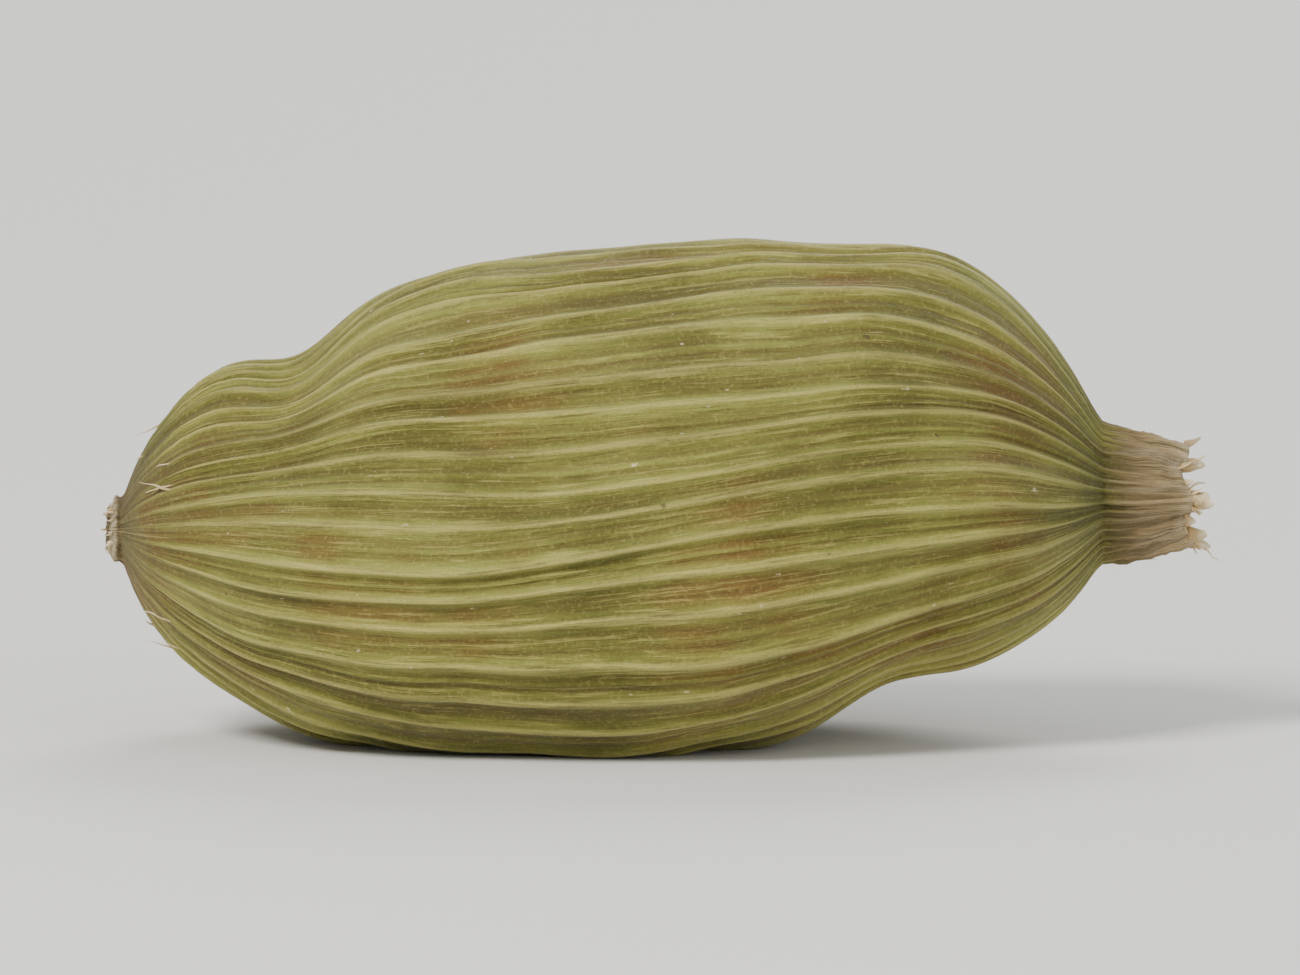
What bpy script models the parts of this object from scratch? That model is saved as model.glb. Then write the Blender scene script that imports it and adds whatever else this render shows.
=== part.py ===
"""Dried green cardamom pod: one closed, three-lobed capsule lying on its side.

The capsule's axis runs along X, from the stalk scar at -X to the beak at +X.
It rests on a small flat spot under its belly, at z = 0, with one lobe uppermost.
Places along the pod are shares of its length, from 0 at the scar to 1 at the beak's tip.
Angles round the axis start at +Y and grow towards +Z.
"""

import math

import bmesh
import bpy

MM = 0.001

# Driving dimensions
POD_LENGTH = 16.6 * MM
BODY_RADIUS = 3.85 * MM
RIB_COUNT = 42
RIB_HEIGHT = 0.17 * MM

# Body outline: where it starts, is fattest and ends, and how blunt each end is
BODY_START = 0.016
FATTEST = 0.50
BODY_END = 0.916
STALK_FULLNESS = 2.6
BEAK_FULLNESS = 2.75
END_ROUNDING = 1.9

# Necks at both ends, as shares of the body radius, and where each of them changes
SCAR_EDGE = 0.098
SCAR_NUB = 0.126
SCAR_EDGE_SPAN = (0.000, 0.010)
BEAK_ROOT = 0.275
BEAK_TIP = 0.188
BEAK_START = 0.895
BEAK_BLUNTNESS = 1.7
NECK_CHANGE_SPAN = (0.30, 0.70)
NECK_BLEND = 3.2

# Lobes, seams and swells belong to the body and die out over these spans
BODY_FADE_IN = (0.02, 0.16)
BODY_FADE_OUT = (0.84, 0.94)

# Cross-section: three lobes, one of them uppermost, and a seam in the middle of each face
LOBES = 3
LOBE_DEPTH = 0.070
TOP_LOBE_ANGLE = math.radians(96.0)
LOBE_TWIST = math.radians(14.0)
SEAM_DEPTH = 0.11 * MM
SEAM_WIDTH = math.radians(5.5)

# Ribs: spans where they fade out, and how far each strays from an even set
RIB_FADE_IN = (0.015, 0.11)
RIB_FADE_OUT = (0.865, 0.955)
RIB_SCATTER = 0.16
RIB_HEIGHT_RANGE = (0.70, 1.15)
RIB_WANDER_RANGE = (0.10, 0.26)
RIB_SWAYS = 1.4

# Steps of the irregular sequences that vary the ribs' places, heights, wander and phase
PLACE_STEP = 0.618
HEIGHT_STEP = 0.755
WANDER_STEP = 0.570
PHASE_STEP = 0.137

# Bend of the axis: the beak half rises, the beak itself droops, and the belly bows sideways
AXIS_RISE = 0.82 * MM
AXIS_RISE_SPAN = (0.28, 0.86)
BEAK_DROOP = 0.28 * MM
BEAK_DROOP_SPAN = (0.80, 0.95)
SIDE_BOW = 0.35 * MM

# Flat spot: how deep the resting plane cuts into the belly
FLAT_DEPTH = 0.42 * MM

# Dents of the shrunken husk: place, angle, depth, and reach along and around
DENTS = (
    (0.175, math.radians(98.0), 0.84 * MM, 0.056, math.radians(36.0)),
    (0.725, math.radians(252.0), 0.46 * MM, 0.070, math.radians(44.0)),
    (0.630, math.radians(94.0), 0.22 * MM, 0.080, math.radians(30.0)),
    (0.400, math.radians(160.0), 0.26 * MM, 0.075, math.radians(20.0)),
    (0.620, math.radians(35.0), 0.30 * MM, 0.070, math.radians(26.0)),
    (0.330, math.radians(-20.0), 0.28 * MM, 0.080, math.radians(24.0)),
)

# Slow swells of the husk: height, waves along the length, waves around, and phase
SWELLS = (
    (0.055 * MM, 2.6, 2, 0.8),
    (0.045 * MM, 4.3, 4, 2.9),
    (0.035 * MM, 6.7, 5, 5.1),
)

# Cups at the two ends: depth, and the widths of the mouth and floor as shares of the rim
SCAR_CUP_DEPTH = 0.22 * MM
SCAR_CUP_MOUTH = 0.52
SCAR_CUP_FLOOR = 0.34
BEAK_CUP_DEPTH = 0.60 * MM
BEAK_CUP_MOUTH = 0.64
BEAK_CUP_FLOOR = 0.38
BEAK_LIP_DROP = 0.12 * MM

# Torn rim of the beak, where the dry flower broke off
BEAK_TEETH = 5
BEAK_TOOTH = 0.19 * MM
BEAK_SLANT = 0.13 * MM
BEAK_SLANT_TURN = 1.0

# Mesh fineness, and how far rings crowd towards the ends
ROWS = 48
ROW_CROWDING = 0.85

# Finish: a dry, dull olive green, with crisp edges only where faces meet at more than this angle
HUSK_COLOUR = (0.270, 0.262, 0.095, 1.0)
HUSK_ROUGHNESS = 0.62
SHARP_ANGLE = math.radians(70.0)


def smoothstep(span, share):
    """0 before the span, 1 after it, and an even S between them."""
    low, high = span
    part = min(1.0, max(0.0, (share - low) / (high - low)))
    return part * part * (3.0 - 2.0 * part)


def between(limits, part):
    """Value that lies part of the way from the first limit to the second."""
    low, high = limits
    return low + (high - low) * part


def irregular(number, step):
    """Share from 0 to 1 that jumps about, but never clumps, as the number grows."""
    return number * step % 1.0


def angle_between(first, second):
    """Signed difference of two angles, from -pi to pi."""
    return (first - second + math.pi) % (2.0 * math.pi) - math.pi


def scar_neck(share):
    """Neck at the stalk scar: a small nub with a rounded edge."""
    return between((SCAR_EDGE, SCAR_NUB), smoothstep(SCAR_EDGE_SPAN, share))


def beak_neck(share):
    """Neck at the beak: a stubby cone, blunt towards its torn rim."""
    out = max(0.0, share - BEAK_START) / (1.0 - BEAK_START)
    return between((BEAK_ROOT, BEAK_TIP), out**BEAK_BLUNTNESS)


def girth(share):
    """Mean radius at a place along the pod: a blunt oval body blended into its two necks."""
    to_scar = min(1.0, max(0.0, FATTEST - share) / (FATTEST - BODY_START))
    to_beak = min(1.0, max(0.0, share - FATTEST) / (BODY_END - FATTEST))
    body = (1.0 - to_scar**STALK_FULLNESS - to_beak**BEAK_FULLNESS) ** (1.0 / END_ROUNDING)
    neck = between((scar_neck(share), beak_neck(share)), smoothstep(NECK_CHANGE_SPAN, share))
    return BODY_RADIUS * (body**NECK_BLEND + neck**NECK_BLEND) ** (1.0 / NECK_BLEND)


def body_share(share):
    """1 on the body and 0 on the necks, where lobes, seams and swells have died out."""
    return smoothstep(BODY_FADE_IN, share) * (1.0 - smoothstep(BODY_FADE_OUT, share))


def rib_share(share):
    """1 where the ribs stand at full height and 0 on the smooth necks."""
    return smoothstep(RIB_FADE_IN, share) * (1.0 - smoothstep(RIB_FADE_OUT, share))


def axis_point(share):
    """Centre of the cross-section at a place along the pod."""
    rise = AXIS_RISE * smoothstep(AXIS_RISE_SPAN, share)
    droop = BEAK_DROOP * smoothstep(BEAK_DROOP_SPAN, share)
    return POD_LENGTH * share, -SIDE_BOW * math.sin(math.pi * share), rise - droop


def seam_groove(angle, crest):
    """Depth of the narrow groove down the middle of each face."""
    depth = 0.0
    for lobe in range(LOBES):
        seam = crest + math.pi / LOBES + 2.0 * math.pi * lobe / LOBES
        off = angle_between(angle, seam) / SEAM_WIDTH
        depth += SEAM_DEPTH * math.exp(-off * off)
    return depth


def dent_depth(share, angle):
    """Depth of all the dents at a point of the husk."""
    depth = 0.0
    for place, middle, deepest, reach_along, reach_around in DENTS:
        off_along = (share - place) / reach_along
        off_around = angle_between(angle, middle) / reach_around
        depth += deepest * math.exp(-off_along * off_along - off_around * off_around)
    return depth


def swell_height(share, angle):
    """Height of the slow swells at a point of the husk."""
    height = 0.0
    for highest, along, around, phase in SWELLS:
        wave = math.cos(2.0 * math.pi * along * share + phase)
        height += highest * wave * math.cos(around * angle + 2.0 * phase)
    return height


def husk_radius(share, angle):
    """Radius of the husk midway up its ribs: girth, lobes, seams, swells and dents."""
    on_body = body_share(share)
    crest = TOP_LOBE_ANGLE + LOBE_TWIST * (share - FATTEST)
    lobed = girth(share) * (1.0 + LOBE_DEPTH * on_body * math.cos(LOBES * (angle - crest)))
    relief = swell_height(share, angle) - seam_groove(angle, crest)
    return lobed + on_body * relief - dent_depth(share, angle)


def rib_angle(number, share):
    """Angle of a rib's crest, which wanders slightly along the body."""
    spacing = 2.0 * math.pi / RIB_COUNT
    scatter = between((-RIB_SCATTER, RIB_SCATTER), irregular(number, PLACE_STEP))
    wander = between(RIB_WANDER_RANGE, irregular(number, WANDER_STEP)) * body_share(share)
    sway = math.sin(2.0 * math.pi * (RIB_SWAYS * share + irregular(number, PHASE_STEP)))
    return spacing * (number + scatter + wander * sway)


def rib_height(number, share):
    """Height of a rib from furrow to crest."""
    full = RIB_HEIGHT * between(RIB_HEIGHT_RANGE, irregular(number, HEIGHT_STEP))
    return full * rib_share(share)


def husk_point(share, angle, lift):
    """Point of the husk at an angle round the axis, raised by lift."""
    x, y, z = axis_point(share)
    radius = husk_radius(share, angle) + lift
    return [x, y + radius * math.cos(angle), z + radius * math.sin(angle)]


def husk_ring(share):
    """One ring of points: the crest of each rib and the furrow after it."""
    ring = []
    for number in range(RIB_COUNT):
        crest = rib_angle(number, share)
        following = rib_angle((number + 1) % RIB_COUNT, share)
        gap = (following - crest) % (2.0 * math.pi)
        lift = 0.5 * rib_height(number, share)
        ring.append(husk_point(share, crest, lift))
        ring.append(husk_point(share, crest + 0.5 * gap, -lift))
    return ring


def row_shares():
    """Places of the rings along the pod, crowded towards both ends."""
    shares = []
    for row in range(ROWS + 1):
        even = row / ROWS
        crowded = 0.5 - 0.5 * math.cos(math.pi * even)
        shares.append(between((even, crowded), ROW_CROWDING))
    return shares


def torn_ring(ring):
    """Pulls the beak's last ring back into uneven teeth."""
    torn = []
    for number, (x, y, z) in enumerate(ring):
        turn = 2.0 * math.pi * number / len(ring)
        tooth = BEAK_TOOTH * (0.5 + 0.5 * math.cos(BEAK_TEETH * turn))
        slant = BEAK_SLANT * (0.5 + 0.5 * math.cos(turn - BEAK_SLANT_TURN))
        torn.append([x - tooth - slant, y, z])
    return torn


def inner_ring(ring, width, inward):
    """Flat copy of an end ring, drawn in to a share of its width and moved along X."""
    centre = [sum(point[axis] for point in ring) / len(ring) for axis in range(3)]
    return [
        [
            centre[0] + inward,
            centre[1] + width * (y - centre[1]),
            centre[2] + width * (z - centre[2]),
        ]
        for _, y, z in ring
    ]


def settled(rings):
    """Rests the belly on z = 0 and puts the middle of the box over the origin."""
    floor = min(point[2] for ring in rings for point in ring) + FLAT_DEPTH
    for ring in rings:
        for point in ring:
            point[2] = max(point[2] - floor, 0.0)
    for axis in (0, 1):
        values = [point[axis] for ring in rings for point in ring]
        middle = 0.5 * (min(values) + max(values))
        for ring in rings:
            for point in ring:
                point[axis] -= middle
    return rings


def pod_rings():
    """All rings, from the floor of the scar's cup, over the husk, to the floor of the beak's."""
    husk = [husk_ring(share) for share in row_shares()]
    husk[-1] = torn_ring(husk[-1])
    scar_floor = inner_ring(husk[0], SCAR_CUP_FLOOR, SCAR_CUP_DEPTH)
    scar_mouth = inner_ring(husk[0], SCAR_CUP_MOUTH, 0.0)
    beak_mouth = inner_ring(husk[-1], BEAK_CUP_MOUTH, -BEAK_LIP_DROP)
    beak_floor = inner_ring(husk[-1], BEAK_CUP_FLOOR, -BEAK_CUP_DEPTH)
    return settled([scar_floor, scar_mouth, *husk, beak_mouth, beak_floor])


def pod_mesh():
    """Closed mesh: quads between neighbouring rings, and one face on each cup's floor."""
    mesh = bpy.data.meshes.new("pod")
    bm = bmesh.new()
    rings = [[bm.verts.new(point) for point in ring] for ring in pod_rings()]
    for first, second in zip(rings, rings[1:]):
        for column in range(len(first)):
            after = (column + 1) % len(first)
            bm.faces.new((first[column], first[after], second[after], second[column]))
    bm.faces.new(rings[0])
    bm.faces.new(rings[-1])
    bmesh.ops.recalc_face_normals(bm, faces=bm.faces)
    bm.to_mesh(mesh)
    bm.free()
    mesh.shade_smooth()
    mesh.set_sharp_from_angle(angle=SHARP_ANGLE)
    return mesh


def husk_material():
    """Dry olive-green husk with a dull surface."""
    material = bpy.data.materials.new("green_husk")
    material.use_nodes = True
    shader = material.node_tree.nodes["Principled BSDF"]
    shader.inputs["Base Color"].default_value = HUSK_COLOUR
    shader.inputs["Roughness"].default_value = HUSK_ROUGHNESS
    shader.inputs["Metallic"].default_value = 0.0
    return material


def clear_scene():
    """Removes whatever objects the scene already holds."""
    for existing in list(bpy.data.objects):
        bpy.data.objects.remove(existing)


def main():
    clear_scene()
    pod = bpy.data.objects.new("pod", pod_mesh())
    pod.data.materials.append(husk_material())
    bpy.context.scene.collection.objects.link(pod)


main()
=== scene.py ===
# %% [markdown]
# # A dried green cardamom pod
#
# This lesson gives a small dried seed pod its fine surface. The pod is a blunt oval capsule about
# 17 mm long, with three soft lobes, some forty thin ribs, a stalk scar at one end and a torn, stubby
# beak at the other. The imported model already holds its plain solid. Here the same shape is made again
# from the same rule, but with many more points, and then gets its ribs, fibres, shreds and colours.

import math

import bpy
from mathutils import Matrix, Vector


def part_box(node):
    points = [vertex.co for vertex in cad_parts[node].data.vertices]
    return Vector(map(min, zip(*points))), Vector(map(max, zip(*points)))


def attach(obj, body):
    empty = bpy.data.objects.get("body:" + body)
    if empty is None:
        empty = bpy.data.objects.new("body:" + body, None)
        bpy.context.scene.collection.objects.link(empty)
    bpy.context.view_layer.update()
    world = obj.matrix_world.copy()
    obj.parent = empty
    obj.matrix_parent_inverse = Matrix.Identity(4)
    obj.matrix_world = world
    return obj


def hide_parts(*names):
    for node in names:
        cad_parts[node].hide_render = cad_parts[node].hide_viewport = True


MM = 0.001
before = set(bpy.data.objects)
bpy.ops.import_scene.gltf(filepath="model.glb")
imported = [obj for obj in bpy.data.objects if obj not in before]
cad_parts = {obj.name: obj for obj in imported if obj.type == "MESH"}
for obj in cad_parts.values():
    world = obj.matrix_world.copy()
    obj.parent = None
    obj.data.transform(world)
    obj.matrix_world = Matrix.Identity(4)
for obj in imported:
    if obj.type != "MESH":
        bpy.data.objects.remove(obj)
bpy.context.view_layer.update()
low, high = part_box("pod")
print("solid pod:", [round(side / MM, 2) for side in high - low], "mm")

# %% [markdown]
# ## Driving sizes
#
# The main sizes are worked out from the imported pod's length. Places along the pod are shares of
# that length, from 0 at the scar to 1 at the beak. Angles round the pod's axis start at +Y and grow
# towards +Z. Short lengths are written in millimetres, because a pod is a small thing.

# %% Driving sizes
POD_LENGTH = high.x - low.x
BODY_RADIUS = 0.232 * POD_LENGTH
RIB_COUNT = 42
RIB_HEIGHT = 0.0102 * POD_LENGTH
FATTEST = 0.50
TURN = 2.0 * math.pi
QUARTER = 0.5 * math.pi
print("rib pitch at the belly:", round(TURN * BODY_RADIUS / RIB_COUNT / MM, 3), "mm")

# %% [markdown]
# ## Writing sums as sums
#
# A shape that follows a rule is a job for Geometry Nodes, and its rule is a page of sums. Adding
# each Math node by hand would bury the rule. So a small class stands for a value that flows through
# a tree: adding two such values makes the Math node that adds them. The same class serves the
# materials later, because shader trees use the same Math nodes.


# %% A value that flows through a node tree
class Flow:
    """The value of one output socket. Arithmetic on it adds Math nodes to its tree."""

    def __init__(self, tree, socket):
        self.tree = tree
        self.socket = socket

    def math(self, operation, *others):
        node = self.tree.nodes.new("ShaderNodeMath")
        node.operation = operation
        for place, value in zip(node.inputs, (self, *others)):
            feed(self.tree, place, value)
        return Flow(self.tree, node.outputs[0])

    def __add__(self, other):
        return self.math("ADD", other)

    def __sub__(self, other):
        return self.math("SUBTRACT", other)

    def __mul__(self, other):
        return self.math("MULTIPLY", other)

    def __truediv__(self, other):
        return self.math("DIVIDE", other)

    def __pow__(self, other):
        return self.math("POWER", other)

    def __rsub__(self, other):
        return self.math("MULTIPLY", -1.0).math("ADD", other)

    __rmul__ = __mul__


def feed(tree, place, value):
    """Links a flowing value to an input, or sets the input to a plain one."""
    if isinstance(value, Flow):
        tree.links.new(value.socket, place)
    else:
        place.default_value = value


print("arithmetic on flowing values is ready")

# %% [markdown]
# ## A few named curves
#
# The rule needs only a handful of curves: an S-shaped step, a bell, a cosine, and the fraction that
# is left of a number when its whole part is taken away. That last one also makes the ribs uneven:
# multiples of 0.618, say, have fractions that jump about and never clump, so no random numbers are
# needed and the ribs fall exactly where the solid has them.


# %% Named curves
def step(value, start, end):
    """0 before start, 1 after end, and an even S between them."""
    node = value.tree.nodes.new("ShaderNodeMapRange")
    node.interpolation_type = "SMOOTHSTEP"
    for place, number in zip(node.inputs, (value, start, end, 0.0, 1.0)):
        feed(value.tree, place, number)
    return Flow(value.tree, node.outputs["Result"])


def fade(value, start, end):
    """1 before start and 0 after end."""
    return 1.0 - step(value, start, end)


def bell(value):
    """1 where the value is 0, falling to both sides."""
    return (value * value * -1.0).math("EXPONENT")


def cosine(value):
    return value.math("COSINE")


def irregular(number, stride):
    """Share from 0 to 1 that jumps about as the number grows."""
    return (number * stride).math("FRACT")


def between(first, second, part):
    """Value that lies part of the way from the first to the second."""
    return (second - first) * part + first


def from_zero_to_one(value):
    return value.math("MAXIMUM", 0.0).math("MINIMUM", 1.0)


print("curves: step, fade, bell, cosine, irregular, between")

# %% [markdown]
# ## The pod's outline
#
# Seen from the side, a pod is a blunt oval: one minus a power of the distance from its fattest place,
# and a root of that to round its ends. At each end it meets a neck: the nub that the stalk broke
# from, and the cone of the beak. The oval and the neck are blended by adding their powers and taking
# the root, which leaves a soft hollow where they meet, as on the real pod, instead of a hard crease.

# %% Outline of the pod
BODY_START = 0.016
BODY_END = 0.916
STALK_FULLNESS = 2.6
BEAK_FULLNESS = 2.75
END_ROUNDING = 1.9
NECK_BLEND = 3.2
NECK_CHANGE_SPAN = (0.30, 0.70)
SCAR_EDGE = 0.098
SCAR_NUB = 0.126
SCAR_EDGE_SPAN = (0.0, 0.010)
BEAK_ROOT = 0.275
BEAK_TIP = 0.188
BEAK_START = 0.895
BEAK_BLUNTNESS = 1.7
BODY_FADE_IN = (0.02, 0.16)
BODY_FADE_OUT = (0.84, 0.94)


def girth(share):
    """Mean radius at a place along the pod, as a share of the body's radius."""
    to_scar = from_zero_to_one((FATTEST - share) / (FATTEST - BODY_START))
    to_beak = from_zero_to_one((share - FATTEST) / (BODY_END - FATTEST))
    gone = to_scar**STALK_FULLNESS + to_beak**BEAK_FULLNESS
    body = (1.0 - gone).math("MAXIMUM", 0.0) ** (1.0 / END_ROUNDING)
    scar = between(SCAR_EDGE, SCAR_NUB, step(share, *SCAR_EDGE_SPAN))
    out = ((share - BEAK_START) / (1.0 - BEAK_START)).math("MAXIMUM", 0.0)
    beak = between(BEAK_ROOT, BEAK_TIP, out**BEAK_BLUNTNESS)
    neck = between(scar, beak, step(share, *NECK_CHANGE_SPAN))
    return (body**NECK_BLEND + neck**NECK_BLEND) ** (1.0 / NECK_BLEND)


def body_share(share):
    """1 on the body and 0 on the necks."""
    return step(share, *BODY_FADE_IN) * fade(share, *BODY_FADE_OUT)


print("outline: oval from", BODY_START, "to", BODY_END, "of the length")

# %% [markdown]
# ## Lobes, seams, swells and dents
#
# The husk is three leaves grown together, so the cross-section has three soft lobes, with a shallow
# seam down the middle of each face. Drying shrinks the husk onto its seeds, which leaves slow swells
# and a few dents. All of this could be sculpted, but it is a sum of cosines and bells, so it is
# written as one and can be changed by changing a number.

# %% Lobes, seams, swells and dents
LOBES = 3
LOBE_DEPTH = 0.070
TOP_LOBE_ANGLE = math.radians(96.0)
LOBE_TWIST = math.radians(14.0)
SEAM_DEPTH = 0.11 * MM
SEAM_WIDTH = math.radians(5.5)
# Each dent: place, angle, depth in millimetres, and reach along and around
DENTS = (
    (0.175, math.radians(98.0), 0.84, 0.056, math.radians(36.0)),
    (0.725, math.radians(252.0), 0.46, 0.070, math.radians(44.0)),
    (0.630, math.radians(94.0), 0.22, 0.080, math.radians(30.0)),
    (0.400, math.radians(160.0), 0.26, 0.075, math.radians(20.0)),
    (0.620, math.radians(35.0), 0.30, 0.070, math.radians(26.0)),
    (0.330, math.radians(-20.0), 0.28, 0.080, math.radians(24.0)),
)
# Each swell: height in millimetres, waves along, waves around, and phase
SWELLS = ((0.055, 2.6, 2, 0.8), (0.045, 4.3, 4, 2.9), (0.035, 6.7, 5, 5.1))


def nearest_turn(angle, period):
    """The angle moved by whole periods until it lies as near to 0 as it can."""
    return (angle / period + 0.5).math("FRACT") * period - 0.5 * period


def form_height(share, angle):
    """Height that lobes, seams, swells and dents add to the plain oval."""
    crest = (share - FATTEST) * LOBE_TWIST + TOP_LOBE_ANGLE
    lobes = girth(share) * BODY_RADIUS * LOBE_DEPTH * cosine((angle - crest) * LOBES)
    from_seam = nearest_turn(angle - crest - math.pi / LOBES, TURN / LOBES)
    height = lobes - SEAM_DEPTH * bell(from_seam / SEAM_WIDTH)
    for highest, along, around, phase in SWELLS:
        wave = cosine(share * TURN * along + phase)
        height += highest * MM * wave * cosine(angle * around + 2.0 * phase)
    height *= body_share(share)
    for place, middle, deepest, reach_along, reach_around in DENTS:
        off_along = bell((share - place) / reach_along)
        off_around = bell(nearest_turn(angle - middle, TURN) / reach_around)
        height -= deepest * MM * off_along * off_around
    return height


print("form:", LOBES, "lobes,", len(SWELLS), "swells,", len(DENTS), "dents")

# %% [markdown]
# ## Ribs
#
# Each rib is a bundle of fibres that the dry husk has shrunk round. The forty or so ribs run from the
# scar to the beak, not quite evenly spaced, not quite equally tall, and swaying a little. They could
# be separate tubes laid on the husk, but a real rib grows out of it with no edge, so the ribs are
# raised from the surface. Between two crests the height follows a bell, with a faint vein midway.

# %% Ribs: where they run and how tall they are
RIB_SCATTER = 0.16
RIB_HEIGHT_RANGE = (0.70, 1.15)
RIB_WANDER_RANGE = (0.10, 0.26)
RIB_SWAYS = 1.4
RIB_FADE_IN = (0.004, 0.085)
RIB_FADE_OUT = (0.875, 0.985)
PLACE_STEP = 0.618
HEIGHT_STEP = 0.755
WANDER_STEP = 0.570
PHASE_STEP = 0.137


def rib_share_of(number, stride):
    """A rib's own irregular share. The number may have gone once round."""
    return irregular(number.math("MODULO", float(RIB_COUNT)), stride)


def rib_angle(number, share):
    """Angle of a rib's crest."""
    scatter = between(-RIB_SCATTER, RIB_SCATTER, rib_share_of(number, PLACE_STEP))
    wander = between(*RIB_WANDER_RANGE, rib_share_of(number, WANDER_STEP)) * body_share(share)
    sway = cosine((share * RIB_SWAYS + rib_share_of(number, PHASE_STEP)) * TURN - QUARTER)
    return (number + scatter + wander * sway) * (TURN / RIB_COUNT)


def rib_tallness(number):
    """Height of a rib, as a share of the usual height."""
    return between(*RIB_HEIGHT_RANGE, rib_share_of(number, HEIGHT_STEP))


def ribbed(share):
    """1 where the ribs stand at full height. They run a little nearer to both ends than in the solid."""
    return step(share, *RIB_FADE_IN) * fade(share, *RIB_FADE_OUT)


print("ribs:", RIB_COUNT, "of", round(RIB_HEIGHT / MM, 3), "mm")

# %% Ribs: their cross-section
CORD_WIDTH = 0.13
CORD_PART = 0.55
SWELLING_WIDTH = 0.31
VEIN_WIDTH = 0.075
VEIN_HEIGHT_RANGE = (0.06, 0.48)
VEIN_STEP = 0.326
TINT_STEP = 0.437
TINT_CHANGE_SPAN = (0.4, 0.6)


def rib_profile(part, number):
    """Height between two crests, from 0 in the furrow to 1 on a crest."""
    to_crest = part.math("MINIMUM", 1.0 - part)
    crest = between(bell(to_crest / SWELLING_WIDTH), bell(to_crest / CORD_WIDTH), CORD_PART)
    vein = between(*VEIN_HEIGHT_RANGE, rib_share_of(number, VEIN_STEP))
    return crest + bell((part - 0.5) / VEIN_WIDTH) * vein


def rib_tint(part, number):
    """Irregular share that is one rib's own, changing in the furrow to the next."""
    here = rib_share_of(number, TINT_STEP)
    return between(here, rib_share_of(number + 1.0, TINT_STEP), step(part, *TINT_CHANGE_SPAN))


print("cord on a crest:", round(CORD_WIDTH * TURN * BODY_RADIUS / RIB_COUNT / MM, 3), "mm to each side")

# %% [markdown]
# ## Growing a mesh from a tree
#
# Three helpers do what every tree needs. One makes a tree with a named input for each size, so that
# it can also be turned by hand in the modifier panel. One ends the tree and gives it its finish. The
# last hangs the tree on a throwaway object, sets its inputs by their identifiers, and keeps the
# evaluated result as a plain mesh.


# %% Tree helpers
SOCKETS = {float: "NodeSocketFloat", int: "NodeSocketInt"}


def add(tree, kind, inputs=None, **settings):
    """New node with its settings, its named inputs fed."""
    node = tree.nodes.new(kind)
    for name, value in settings.items():
        setattr(node, name, value)
    for name, value in (inputs or {}).items():
        feed(tree, node.inputs[name], value)
    return node


def pick(node, output=0):
    """One output of a node, as a flowing value."""
    return Flow(node.id_data, node.outputs[output])


def new_tree(name, sizes):
    """Geometry tree with inputs for a mesh, a finish and each size, and those inputs as flows."""
    tree = bpy.data.node_groups.new(name, "GeometryNodeTree")
    tree.interface.new_socket("Mesh", in_out="INPUT", socket_type="NodeSocketGeometry")
    tree.interface.new_socket("Finish", in_out="INPUT", socket_type="NodeSocketMaterial")
    for title, value in sizes.items():
        tree.interface.new_socket(title, in_out="INPUT", socket_type=SOCKETS[type(value)])
    tree.interface.new_socket("Result", in_out="OUTPUT", socket_type="NodeSocketGeometry")
    entry = tree.nodes.new("NodeGroupInput")
    return tree, {socket.name: Flow(tree, socket) for socket in entry.outputs if socket.name}


def finish_tree(mesh, material):
    """Ends a tree: smooth shading, plain mesh in place of instances, and the material."""
    tree = mesh.tree
    smooth = add(tree, "GeometryNodeSetShadeSmooth", {"Geometry": mesh})
    plain = add(tree, "GeometryNodeRealizeInstances", {"Geometry": pick(smooth)})
    dressed = add(tree, "GeometryNodeSetMaterial", {"Geometry": pick(plain), "Material": material})
    feed(tree, tree.nodes.new("NodeGroupOutput").inputs[0], pick(dressed))


print("tree helpers are ready")


# %% Growing a piece
def grow(name, tree, sizes, material, start=None):
    """Runs a tree, on a start mesh if it needs one, and returns the result as a new object."""
    holder = bpy.data.objects.new(name + "_seed", start or bpy.data.meshes.new(name + "_seed"))
    bpy.context.scene.collection.objects.link(holder)
    modifier = holder.modifiers.new(name, "NODES")
    modifier.node_group = tree
    values = sizes | {"Finish": material}
    for socket in tree.interface.items_tree:
        if socket.name in values:
            modifier[socket.identifier] = values[socket.name]
    view = bpy.context.evaluated_depsgraph_get()
    mesh = bpy.data.meshes.new_from_object(
        holder.evaluated_get(view), preserve_all_data_layers=True, depsgraph=view
    )
    bpy.data.objects.remove(holder)
    mesh.name = name
    # A mesh node's own empty slot goes, so that the finish is the only one
    mesh.materials.clear()
    mesh.materials.append(material)
    piece = bpy.data.objects.new(name, mesh)
    bpy.context.scene.collection.objects.link(piece)
    triangles = sum(len(face.vertices) - 2 for face in mesh.polygons)
    print(name + ":", triangles, "triangles")
    return piece


print("pieces can be grown and measured")

# %% [markdown]
# ## Materials from the same sums
#
# A shader tree has the same Math nodes, so the class above writes its sums too. What it needs besides
# is a way to blend colours and to read noise. Colours are given as they look on a screen, from 0 to
# 255, and turned into the linear values that light is added up in.


# %% Colour helpers
SCREEN_WHITE = 255.0
SCREEN_OFFSET = 0.055
SCREEN_POWER = 2.4
# A Mix node has sockets for numbers, vectors and colours. These are its factor and its colours.
MIX_INPUTS = (0, 6, 7)
MIX_OUTPUT = 2


def seen(red, green, blue):
    """Linear colour for one given as it looks on a screen."""
    parts = [part / SCREEN_WHITE for part in (red, green, blue)]
    return [((part + SCREEN_OFFSET) / (1.0 + SCREEN_OFFSET)) ** SCREEN_POWER for part in parts] + [1.0]


def tinted(first, second, part):
    """Colour part of the way from the first to the second."""
    node = add(part.tree, "ShaderNodeMix", data_type="RGBA")
    for place, value in zip(MIX_INPUTS, (part, first, second)):
        feed(part.tree, node.inputs[place], value)
    return pick(node, MIX_OUTPUT)


def laid_over(under, over, pattern, span, strength):
    """Colour with another laid over it where a pattern rises through a span."""
    return tinted(under, over, step(pattern, *span) * strength)


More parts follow.
